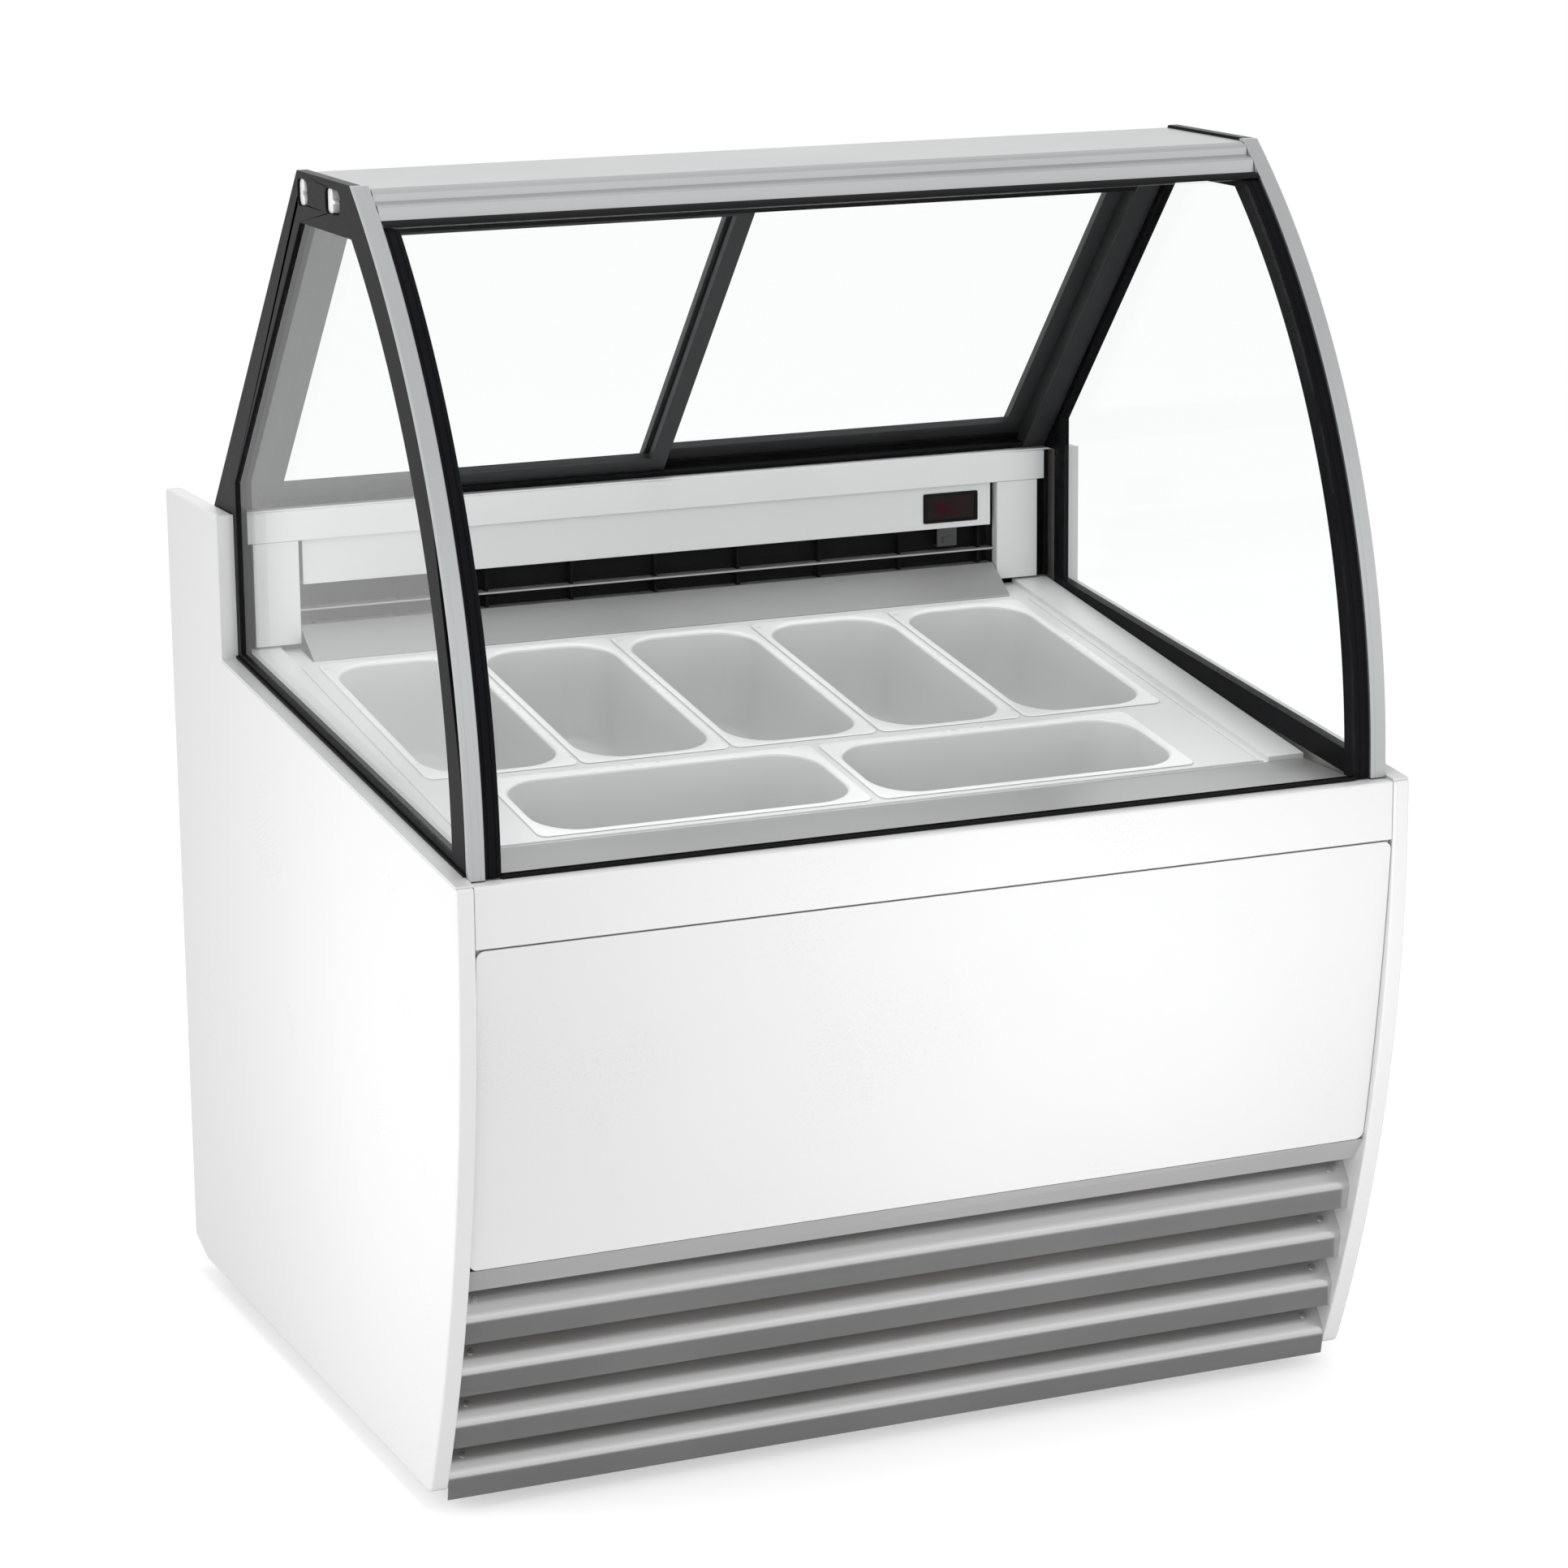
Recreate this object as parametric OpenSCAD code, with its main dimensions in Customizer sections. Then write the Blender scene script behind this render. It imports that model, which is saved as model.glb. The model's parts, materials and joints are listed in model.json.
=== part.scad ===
// Ice cream dipping cabinet: seven pans under a curved glass canopy, with the
// refrigeration below. X runs across the cabinet, the customer's side faces -Y
// and +Z is up. The origin is on the floor under the middle of the cabinet.
// Heights in the modules count from the underside of the skirt, and raised()
// lifts each piece by the height of the levelling feet.

/* [Cabinet] */
// Width over the end panels
cabinet_w = 1026; // [1000:2:1060]
// Depth from the front to the back of the end panels
cabinet_d = 940; // [930:5:960]
// Gap between the floor and the skirt
foot_h = 22; // [18:1:40]
// Thickness of an end panel
panel_t = 18; // [14:1:20]
// Height of the end panels at the front, above the skirt
front_h = 650; // [640:5:660]
// Height of the end panels at the back, above the skirt
back_h = 884; // [880:2:890]
// Sheet metal thickness of the body
sheet_t = 2; // [1.5:0.5:2.5]

/* [Canopy] */
// Radius of the curved front
canopy_r = 825; // [815:5:835]
// Height of the canopy's top, above the skirt
canopy_h = 1274; // [1270:1:1278]
// Height of the header beam's underside, above the skirt
header_z = 1237; // [1232:1:1239]
// Thickness of the glass
glass_t = 6; // [5:0.5:6]
// Width of the black border round an end glass
border_w = 38; // [34:1:42]
// Width of an aluminium corner trim
trim_w = 17.5; // [15:0.5:22]

/* [Pans] */
// Slope of the pan deck towards the customer, in degrees
deck_tilt = 8; // [7.5:0.1:8.4]
// Length of a pan over its rim
pan_l = 360; // [355:1:362]
// Width of a pan over its rim
pan_w = 165; // [160:1:166]
// Depth of a pan
pan_depth = 120; // [90:5:130]
// Distance between neighbouring pans' centres
pan_pitch = 167.7; // [167:0.1:169]

/* [Skirt] */
// Distance between neighbouring louvre slats
slat_pitch = 59.5; // [58:0.5:60]
// Slope of a slat's upper face from upright, in degrees
slat_tilt = 36; // [30:1:40]
// Radius of a slat's rolled nose
slat_r = 14; // [8:1:16]

/* [Rear doors] */
// Slope of the rear doors from upright, in degrees
door_lean = 40.7; // [40:0.1:41]
// Thickness of a door frame
door_t = 9; // [8:0.5:9]
// Width of a door stile
stile_w = 20; // [16:1:24]

/* [Hidden] */
$fn = 64;
// Facets of the large arcs
ARC_FN = 360;
// Facets of the very large arc of the front panel
WIDE_ARC_FN = 1080;

half_w = cabinet_w / 2;
half_d = cabinet_d / 2;
inner_x = half_w - panel_t;
front_y = -half_d + 2;
panel_foot = 4;

// The end panels' raised back part and sloping low part
step_y = 276;
step_z = 726;
edge_slope = (step_z - front_h) / (step_y + half_d);
function edge_z(y) = front_h + (y + half_d) * edge_slope;

// The skirt sweeps back along one arc
sweep_r = 1490;
sweep_z = 600;

// The front panel is bent to one very large arc
bow_r = 3000;
bow_top = 587.5;
bow_foot = 257;
bow_lean = 4.5;
bow_y = front_y + bow_r * cos(bow_lean);
bow_z = 588 + bow_r * sin(bow_lean);

// The canopy's front is one arc about this axis
canopy_y = -453 + canopy_r;
canopy_z = front_h;
frame_t = 12;
frame_x = inner_x - frame_t;
trim_t = 6;
trim_x = inner_x - trim_w;
window_r = canopy_r - trim_t - border_w;
window_top = header_z - 15;
gasket_h = 10;
glass_r = canopy_r - 3;
seal_w = 17;
seal_depth = 23;
seal_x = trim_x - seal_w;

// The pan deck's rear edge, where its local frame starts
deck_y = 241;
deck_z = 720;
deck_t = 1.5;
deck_gap = 0.3;
rim_t = 1.5;
row_gap = 14;
pan_wall = 1.2;
pan_clear = 2;
pan_body_inset = 9;
pan_corner_r = 46;
deck_front = pan_l + row_gap + pan_w + 13;
deck_front_y = deck_y - deck_front * cos(deck_tilt);
ledge_z = deck_z - deck_front * sin(deck_tilt) - 1.8;
function deck_under(y) = deck_z + (y - deck_y) * tan(deck_tilt) - 4;

// The insulated well
tub_z = 362;
well_z = 412;
well_x = 455;
well_back = 396;
tub_back = 452;

// The rear doors' local frame starts at the canopy's rear top edge
leg_y = 10;
leg_z = 1272;
leg_t = 39;
counter_z = 882;
post_x = 455;
door_top = -60;
door_foot = -486;
door_clear = 1;
outer_door_y = -4 - door_t;
inner_door_y = -17 - door_t;
door_lap = 12;

// The machine compartment
floor_z = 46;
rail_w = 56;
rail_h = 40.8;
rail_t = 2;
floor_t = 1.2;
base_front = -306;
base_back = 440;
fan_x = -175;
fan_y = -203;
fan_z = 160;
fan_r = 98;
evap_fan_y = 10;
evap_fan_z = 470;
evap_fan_r = 48;
shaft_r = 4;
bore_gap = 0.05;
rear_sheet_y = 464;
switch_z = 296;
switch_y = 459;
switch_r = 11.5;
power_x = 60;
light_x = 100;
button_x = 150;
rocker_tilt = 8;

module raised() translate([0, 0, foot_h]) children();

// Runs a section drawn in Y and Z across the cabinet, from x0 to x1
module across(x0, x1)
    translate([x0, 0, 0])
    rotate([90, 0, 90])
    linear_extrude(x1 - x0)
    children();

module both_ends() {
    children();
    mirror([1, 0, 0]) children();
}

// The pan deck's frame: local Y runs up the slope and local Z is its normal
module on_deck()
    translate([0, deck_y, deck_z])
    rotate([deck_tilt, 0, 0])
    children();

// The rear doors' frame: local Z runs up the slope and local Y points out
module on_leg()
    translate([0, leg_y, leg_z])
    rotate([door_lean, 0, 0])
    children();

module canopy_circle(r)
    translate([canopy_y, canopy_z])
    circle(r = r, $fn = ARC_FN);

module canopy_band(r_in, r_out, z_low, z_high)
    intersection() {
        difference() {
            canopy_circle(r_out);
            canopy_circle(r_in);
        }
        translate([-half_d, z_low]) square([half_d, z_high - z_low]);
    }

module rounded_rect(w, l, r) {
    square([w - 2 * r, l], center = true);
    square([w, l - 2 * r], center = true);
    for (sx = [-1, 1], sy = [-1, 1])
        translate([sx * (w / 2 - r), sy * (l / 2 - r)]) circle(r = r);
}

module along_y(y0, y1, r)
    translate([0, y1, 0])
    rotate([90, 0, 0])
    cylinder(r = r, h = y1 - y0);

// ---- base ----

// The ring of rails under the cabinet, drawn in by t on every face
module rail_ring(t)
    translate([0, 0, t])
    linear_extrude(rail_h - 2 * t)
    difference() {
        translate([-inner_x + t, base_front + t])
        square([2 * (inner_x - t), base_back - base_front - 2 * t]);
        translate([-inner_x + rail_w - t, base_front + rail_w - t])
        square([2 * (inner_x - rail_w + t), base_back - base_front - 2 * (rail_w - t)]);
    }

module base_frame()
    color("dimgray")
    raised()
    union() {
        translate([0, 0, panel_foot])
        difference() {
            rail_ring(0);
            rail_ring(rail_t);
        }
        translate([-inner_x, base_front, floor_z - floor_t])
        cube([2 * inner_x, base_back - base_front, floor_t]);
    }

foot_x = 446;
foot_ys = [-270, 410];

module levelling_feet()
    color("black")
    for (x = [-foot_x, foot_x], y = foot_ys)
        translate([x, y, 0])
        union() {
            cylinder(r = 22, h = 9);
            cylinder(r = 6, h = foot_h + panel_foot);
        }

// ---- end panels ----

module end_panel_section()
    difference() {
        polygon([
            [-half_d, panel_foot],
            [half_d - 46, panel_foot],
            [half_d, 20],
            [half_d, back_h],
            [step_y, back_h],
            [step_y, step_z],
            [-half_d, front_h]
        ]);
        difference() {
            translate([-half_d - 10, -10]) square([half_d / 2, sweep_z + 10]);
            translate([sweep_r - half_d, sweep_z]) circle(r = sweep_r, $fn = ARC_FN);
        }
    }

module end_panel()
    raised()
    across(inner_x, half_w)
    end_panel_section();

module left_end_panel() color("white") mirror([1, 0, 0]) end_panel();

module right_end_panel() color("white") end_panel();

module edge_trims()
    color("silver")
    raised()
    both_ends()
    across(inner_x, half_w)
    union() {
        polygon([
            [-half_d + 2, edge_z(-half_d + 2)],
            [step_y, step_z],
            [step_y, step_z + sheet_t],
            [-half_d + 2, edge_z(-half_d + 2) + sheet_t]
        ]);
        translate([step_y - sheet_t, step_z + sheet_t / 2])
        square([sheet_t, back_h - step_z - sheet_t / 2]);
    }

// ---- customer's side ----

lip_y = -438;

module front_fascia()
    color("white")
    raised()
    union() {
        across(-inner_x, inner_x)
        translate([front_y, 589])
        square([sheet_t, front_h - 589]);
        across(-inner_x, inner_x)
        translate([front_y, front_h - sheet_t])
        square([-448 - front_y, sheet_t]);
        across(-frame_x, frame_x)
        union() {
            translate([-449, front_h - sheet_t])
            square([lip_y + 449, sheet_t]);
            translate([lip_y - sheet_t, front_h - 10])
            square([sheet_t, 10]);
        }
    }

module front_panel()
    color("white")
    raised()
    across(-inner_x, inner_x)
    intersection() {
        difference() {
            translate([bow_y, bow_z]) circle(r = bow_r, $fn = WIDE_ARC_FN);
            translate([bow_y, bow_z]) circle(r = bow_r - sheet_t, $fn = WIDE_ARC_FN);
        }
        translate([-half_d, bow_foot]) square([100, bow_top - bow_foot]);
    }

strip_top = [-422.6, 256.5];
strip_foot = [-404, 230];

module front_return_strip()
    color("darkgray")
    raised()
    across(-inner_x, inner_x)
    polygon([
        strip_top,
        strip_foot,
        strip_foot + [8, 0],
        strip_foot + [8, 1.5],
        strip_foot + [1, 1.5],
        strip_top + [2, 0]
    ]);

slat_count = 4;
slat_t = 1.5;
slat_low = -24;
slat_high = 37;
slat_back = 24;
slat_tuck = 10;
first_slat = [-397, 196];
slat_step = [16.3, -slat_pitch];
slat_up = [-cos(slat_tilt), sin(slat_tilt)];
slat_along = [sin(slat_tilt), cos(slat_tilt)];
slat_down = [-cos(slat_tuck), -sin(slat_tuck)];
slat_axis = [slat_r, 0];
face_ease = 0.02;

// All that lies behind a slat's faces, drawn in by t. The origin is its nose
module slat_shape(t) {
    r = slat_r - t;
    upper = slat_axis + (r - face_ease) * slat_up;
    lower = slat_axis + (r - face_ease) * slat_down;
    translate(slat_axis) circle(r = r);
    polygon([
        upper,
        upper + 80 * slat_along,
        [150, 80],
        [150, -80],
        lower + 80 * [sin(slat_tuck), -cos(slat_tuck)],
        lower
    ]);
}

module slat_section()
    intersection() {
        difference() {
            slat_shape(0);
            slat_shape(slat_t);
        }
        translate([-1, slat_low]) square([slat_back + 1, slat_high - slat_low]);
    }

module at_slat(i)
    translate([0, first_slat[0] + i * slat_step[0], first_slat[1] + i * slat_step[1]])
    children();

module louvre_slats()
    color("gray")
    raised()
    for (i = [0 : slat_count - 1])
        at_slat(i)
        across(-inner_x, inner_x)
        slat_section();

// ---- operator's side ----

service_top = 240;
service_foot = 30;
vent_w = 120;
vent_h = 8;
vent_rows = 7;
vent_pitch = 20;
inlet_x = -430;
inlet_z = 60;

module rear_service_grille()
    color("silver")
    raised()
    difference() {
        translate([-inner_x, rear_sheet_y, service_foot])
        cube([2 * inner_x, sheet_t, service_top - service_foot]);
        for (x = [-310, -150, 10, 170], i = [0 : vent_rows - 1])
            translate([x, rear_sheet_y - 1, 80 + i * vent_pitch])
            cube([vent_w, sheet_t + 2, vent_h]);
        translate([inlet_x, 0, inlet_z]) along_y(rear_sheet_y - 1, half_d, 10.2);
    }

controller_x = -150;
controller_body = [71, 29];
controller_bezel = [78, 36];

module rocker_cutout(x)
    translate([x - 7, rear_sheet_y - 1, switch_z - switch_r - 0.5])
    cube([14, 10, 2 * switch_r + 1]);

module control_panel()
    color("gainsboro")
    raised()
    difference() {
        union() {
            translate([-inner_x, rear_sheet_y, service_top + 1])
            cube([2 * inner_x, sheet_t, 110]);
            for (x = [power_x, light_x])
                translate([x - 10, rear_sheet_y, switch_z - switch_r - 3])
                cube([20, sheet_t + 1.5, 2 * switch_r + 6]);
        }
        rocker_cutout(power_x);
        rocker_cutout(light_x);
        translate([button_x, 0, switch_z]) along_y(rear_sheet_y - 1, half_d, 7.4);
        translate([
            controller_x - controller_body[0] / 2,
            rear_sheet_y - 1,
            switch_z - controller_body[1] / 2
        ])
        cube([controller_body[0], 10, controller_body[1]]);
    }

module controller()
    color("black")
    raised()
    union() {
        translate([
            controller_x - controller_body[0] / 2,
            rear_sheet_y - 55,
            switch_z - controller_body[1] / 2
        ])
        cube([controller_body[0], 55 + sheet_t, controller_body[1]]);
        translate([
            controller_x - controller_bezel[0] / 2,
            rear_sheet_y + sheet_t,
            switch_z - controller_bezel[1] / 2
        ])
        cube([controller_bezel[0], 3, controller_bezel[1]]);
    }

module power_inlet()
    color("black")
    raised()
    translate([inlet_x, 0, inlet_z])
    difference() {
        union() {
            along_y(rear_sheet_y - 14, half_d - 0.5, 10);
            translate([0, half_d - 0.5, 0])
            rotate([90, 0, 0])
            cylinder(r = 14, h = 3.5, $fn = 6);
            translate([0, rear_sheet_y, 0])
            rotate([90, 0, 0])
            cylinder(r = 14, h = 5, $fn = 6);
        }
        along_y(rear_sheet_y - 15, half_d, 4.5);
    }

// Folded sheet: the rear deck and the cabinet's upper back
module rear_counter()
    color("gainsboro")
    raised()
    across(-inner_x, inner_x)
    union() {
        translate([292, counter_z - sheet_t])
        square([rear_sheet_y + sheet_t - 292, sheet_t]);
        translate([rear_sheet_y, service_top + 112])
        square([sheet_t, counter_z - service_top - 112]);
    }

// ---- insulated well ----

module tub_section()
    polygon([
        [-438, tub_z],
        [tub_back, tub_z],
        [tub_back, 872],
        [306, 872],
        [306, deck_under(300)],
        [300, deck_under(300)],
        [deck_front_y, deck_under(deck_front_y)],
        [lip_y - sheet_t, deck_under(deck_front_y)],
        [lip_y - sheet_t, front_h - 4],
        [-464, front_h - 4],
        [-464, 588]
    ]);

// The hollow of the well, drawn in by t on every wall
module well_section(t = 0)
    polygon([
        [-396 + t, well_z + t],
        [lip_y - sheet_t + t, 600],
        [lip_y - sheet_t + t, 900],
        [well_back - t, 900],
        [well_back - t, well_z + t]
    ]);

pipe_holes = [[380, 180, 14], [350, 120, 9]];
drain_at = [0, 300];
drain_r = 12;
liner_t = 1.2;

module insulated_tub()
    color("lightyellow")
    raised()
    difference() {
        across(-frame_x, frame_x) tub_section();
        across(-well_x, well_x) well_section();
        for (h = pipe_holes)
            translate([h[0], h[1], tub_z - 1]) cylinder(r = h[2], h = 60);
        translate([drain_at[0], drain_at[1], tub_z - 1]) cylinder(r = drain_r, h = 60);
    }

module tub_liner()
    color("silver")
    raised()
    difference() {
        union() {
            intersection() {
                difference() {
                    across(-well_x, well_x) well_section();
                    across(-well_x + liner_t, well_x - liner_t) well_section(liner_t);
                }
                across(-frame_x, frame_x) tub_section();
            }
            translate([drain_at[0], drain_at[1], tub_z - 30])
            cylinder(r = drain_r, h = well_z - tub_z + 30 + liner_t);
        }
        for (h = pipe_holes)
            translate([h[0], h[1], tub_z - 1]) cylinder(r = h[2], h = 60);
        translate([drain_at[0], drain_at[1], tub_z - 31]) cylinder(r = drain_r - 1.5, h = 100);
    }

// ---- pan deck ----

pan_hole = [pan_w - 2 * pan_body_inset + 2 * pan_clear, pan_l - 2 * pan_body_inset + 2 * pan_clear];
rear_row_y = -pan_l / 2;
front_row_y = -pan_l - row_gap - pan_w / 2;
front_pan_x = (pan_l + 7.7) / 2;
deck_back = 60;
slope_x = 417;
side_rail_x = 441;

module deck_frame()
    color("lightgray")
    raised()
    on_deck()
    difference() {
        union() {
            translate([-frame_x, -deck_front, -deck_gap - rim_t - deck_t])
            cube([2 * frame_x, deck_front + deck_back, deck_t]);
            both_ends()
            translate([side_rail_x, -deck_front, -deck_gap - rim_t - deck_t])
            cube([frame_x - side_rail_x, deck_front + deck_back, 7]);
        }
        translate([-slope_x, 14, -10]) cube([2 * slope_x, deck_back, 20]);
        for (i = [-2 : 2])
            translate([i * pan_pitch - pan_hole[0] / 2, rear_row_y - pan_hole[1] / 2, -10])
            cube([pan_hole[0], pan_hole[1], 20]);
        for (s = [-1, 1])
            translate([s * front_pan_x - pan_hole[1] / 2, front_row_y - pan_hole[0] / 2, -10])
            cube([pan_hole[1], pan_hole[0], 20]);
    }

ledge_lip_y = -424;

module front_ledge()
    color("lightgray")
    raised()
    union() {
        across(-frame_x, frame_x)
        translate([ledge_lip_y, ledge_z - deck_t])
        square([deck_front_y - ledge_lip_y - 0.3, deck_t]);
        across(-well_x + 2, well_x - 2)
        translate([ledge_lip_y, 560])
        square([deck_t, ledge_z - 560]);
    }

grille_slots = 30;
grille_pitch = 30;

module return_grille()
    color("black")
    raised()
    difference() {
        across(-well_x + liner_t, well_x - liner_t)
        translate([lip_y - sheet_t + liner_t, 616])
        square([ledge_lip_y - lip_y + sheet_t - liner_t, 3]);
        for (i = [0 : grille_slots - 1])
            translate([(i - grille_slots / 2) * grille_pitch + 4, lip_y + 2, 610])
            cube([22, 9, 20]);
    }

outlet_y = 300;
outlet_foot = 752;
outlet_split = 769;
outlet_top = 797;

// The stainless slope behind the pans, and the divider of the air outlet
module rear_slope()
    color("silver")
    raised()
    across(-slope_x + 0.5, slope_x - 0.5)
    union() {
        polygon([
            [deck_y + 14.5, deck_z],
            [outlet_y, outlet_foot - 1.5],
            [outlet_y + 16, outlet_foot - 1.5],
            [outlet_y + 16, outlet_foot],
            [outlet_y, outlet_foot],
            [deck_y + 14.5, deck_z + 1.8]
        ]);
        translate([outlet_y - 2, outlet_split - 1]) square([18, 2]);
    }

vane_count = 9;

module air_outlet()
    color("black")
    raised()
    union() {
        across(-slope_x + 1, slope_x - 1)
        translate([outlet_y + 16, outlet_foot - 2])
        square([2, outlet_top - outlet_foot + 2]);
        for (i = [0 : vane_count - 1], z = [[outlet_foot, outlet_split - 1], [outlet_split + 1, outlet_top]])
            translate([(i - (vane_count - 1) / 2) * 100 - 1.5, outlet_y + 4, z[0]])
            cube([3, 12, z[1] - z[0]]);
    }

display_x = 361.5;
display_w = 64;
display_foot = 806;
display_h = 30;
fascia_foot = 847;

module display_panel()
    color("lightgray")
    raised()
    difference() {
        across(-slope_x + 5, slope_x - 5)
        union() {
            translate([outlet_y - 2, outlet_top]) square([sheet_t, fascia_foot - outlet_top]);
            translate([outlet_y - 2, outlet_top]) square([18, sheet_t]);
        }
        translate([display_x - display_w / 2, outlet_y - 5, display_foot])
        cube([display_w, 10, display_h]);
    }

module display_window()
    color("maroon")
    raised()
    translate([display_x - display_w / 2, outlet_y - 2.5, display_foot])
    cube([display_w, 6, display_h]);

module rear_fascia()
    color("lightgray")
    raised()
    across(-frame_x + 6, frame_x - 6)
    union() {
        translate([outlet_y - 10, fascia_foot])
        square([sheet_t, counter_z - sheet_t - fascia_foot]);
        translate([outlet_y - 10, counter_z - 2 * sheet_t])
        square([40, sheet_t]);
    }

column_x = [418, 469];
column_y = [292, 305];
column_foot = 733.5;

// Pressed covers with their hollow side to the back
module rear_columns()
    color("lightgray")
    raised()
    both_ends()
    translate([column_x[0], column_y[0], column_foot])
    difference() {
        cube([
            column_x[1] - column_x[0],
            column_y[1] - column_y[0],
            fascia_foot - 0.5 - column_foot
        ]);
        translate([1.5, 1.5, -1])
        cube([column_x[1] - column_x[0] - 3, column_y[1] - column_y[0], 200]);
    }

// ---- canopy ----

// Keeps a section between the header's underside and its top
module header_zone(top)
    polygon([
        [-300, header_z],
        [leg_y + (leg_z - header_z) * tan(door_lean), header_z],
        [leg_y + (leg_z - top) * tan(door_lean), top],
        [-300, top]
    ]);

header_top = 1271;

// The ribbed extrusion's section between the corner trims
module header_section()
    polygon([
        [-168, header_top],
        [-173.5, 1269],
        [-176.5, 1266],
        [-177.5, 1259],
        [-188, 1256.5],
        [-190.5, 1254.5],
        [-191.5, 1251],
        [-193, 1242],
        [-202, 1240.5],
        [-205, header_z + 1.5],
        [-205.5, header_z],
        [leg_y + (leg_z - header_z) * tan(door_lean), header_z],
        [leg_y + (leg_z - header_top) * tan(door_lean), header_top]
    ]);

module header_beam()
    color("silver")
    raised()
    difference() {
        union() {
            across(-trim_x + 0.3, trim_x - 0.3)
            header_section();
            across(-frame_x, frame_x)
            intersection() {
                header_zone(header_top);
                canopy_circle(canopy_r - trim_t - 0.5);
            }
        }
        across(-frame_x - 1, frame_x + 1)
        translate([-155, header_z + 5])
        square([160, header_top - header_z - 10]);
    }

module lamp_diffuser()
    color("white")
    raised()
    across(-430, 430)
    polygon([[-132, header_z], [-126, header_z - 8], [-100, header_z - 8], [-94, header_z]]);

// Screw windows in an end frame's top: centre and size of each, in Y and Z
screw_windows = [[[-9, 1253], [30, 27]], [[-105, 1253], [44, 25]]];
window_corner_r = 8;

module window_section()
    intersection() {
        canopy_circle(window_r);
        polygon([
            [-half_d, edge_z(-half_d) + gasket_h],
            [step_y - 14, edge_z(step_y - 14) + gasket_h],
            [step_y - 14, 919],
            [1.6, window_top],
            [-300, window_top]
        ]);
    }

module end_frame_section()
    difference() {
        intersection() {
            canopy_circle(canopy_r - trim_t);
            polygon([
                [-half_d, edge_z(-half_d) - 15],
                [step_y, step_z - 15],
                [step_y, counter_z],
                [leg_y + (leg_z - counter_z) * tan(door_lean), counter_z],
                [leg_y + (leg_z - canopy_h) * tan(door_lean), canopy_h],
                [-300, canopy_h]
            ]);
        }
        window_section();
        for (w = screw_windows)
            translate(w[0]) rounded_rect(w[1][0], w[1][1], window_corner_r);
    }

module end_frame()
    raised()
    across(frame_x, inner_x)
    end_frame_section();

module left_end_frame() color("black") mirror([1, 0, 0]) end_frame();

module right_end_frame() color("black") end_frame();

module side_glass()
    raised()
    across(inner_x - 3 - glass_t, inner_x - 3)
    window_section();

module left_side_glass() color("azure", 0.3) mirror([1, 0, 0]) side_glass();

module right_side_glass() color("azure", 0.3) side_glass();

module corner_trims()
    color("silver")
    raised()
    both_ends()
    across(trim_x, inner_x)
    canopy_band(canopy_r - trim_t, canopy_r, front_h + 1, canopy_h);

glass_top = header_z - 1.5;

module front_glass()
    color("azure", 0.3)
    raised()
    across(-seal_x, seal_x)
    canopy_band(glass_r - glass_t, glass_r, front_h + 1.5, glass_top);

module front_glass_seals()
    color("black")
    raised()
    both_ends()
    across(seal_x, trim_x - 0.8)
    canopy_band(glass_r - seal_depth, glass_r, front_h + 1.5, glass_top);

// The rubber channel under the curved glass
module front_glass_gasket()
    color("black")
    raised()
    across(-seal_x, seal_x)
    difference() {
        canopy_band(glass_r - glass_t - 1.5, glass_r + 1.5, front_h + 0.3, front_h + 4.2);
        canopy_band(glass_r - glass_t, glass_r, front_h + 1.5, front_h + 10);
    }

// ---- rear posts, tracks and sliding doors ----

module between_counter_and_header()
    intersection() {
        children();
        translate([-half_w, -half_d, counter_z])
        cube([cabinet_w, cabinet_d, header_z - counter_z]);
    }

module rear_posts()
    color("gray")
    raised()
    between_counter_and_header()
    on_leg()
    both_ends()
    translate([post_x, -32, -540])
    cube([frame_x - post_x, 30, 540]);

module track(lip, groove) {
    low = min(lip, groove);
    difference() {
        translate([-post_x, -30, lip < -300 ? -540 : lip])
        cube([2 * post_x, 29, lip < -300 ? 540 + lip : -lip]);
        for (y = [inner_door_y, outer_door_y])
            translate([-post_x - 1, y - door_clear, low])
            cube([2 * post_x + 2, door_t + 2 * door_clear, abs(lip - groove) + 0.01]);
    }
}

module door_tracks()
    color("black")
    raised()
    between_counter_and_header()
    on_leg()
    union() {
        track(door_top - 6, door_top + door_clear);
        track(door_foot + 6, door_foot - door_clear);
    }

rail_top_h = 14;
rail_foot_h = 24;
pane_t = 4;

// Section of a door's opening, from its left stile to its right stile
module door_frame(x0, x1, y, pull_x)
    raised()
    on_leg()
    union() {
        difference() {
            translate([x0, y, door_foot])
            cube([x1 - x0, door_t, door_top - door_foot]);
            translate([x0 + stile_w, y - 1, door_foot + rail_foot_h])
            cube([
                x1 - x0 - 2 * stile_w,
                door_t + 2,
                door_top - door_foot - rail_top_h - rail_foot_h
            ]);
        }
        translate([pull_x, y, -340]) cube([7, door_t + 9, 130]);
    }

module door_glass(x0, x1, y)
    raised()
    on_leg()
    translate([x0 + stile_w, y + (door_t - pane_t) / 2, door_foot + rail_foot_h])
    cube([
        x1 - x0 - 2 * stile_w,
        pane_t,
        door_top - door_foot - rail_top_h - rail_foot_h
    ]);

door_x = post_x - door_clear;

module left_door_frame()
    color("gray")
    door_frame(-door_x, door_lap, inner_door_y, -door_x);

module left_door_glass() color("azure", 0.3) door_glass(-door_x, door_lap, inner_door_y);

module right_door_frame()
    color("gray")
    door_frame(-door_lap, door_x, outer_door_y, door_x - 7);

module right_door_glass() color("azure", 0.3) door_glass(-door_lap, door_x, outer_door_y);

// ---- pans ----

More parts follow.
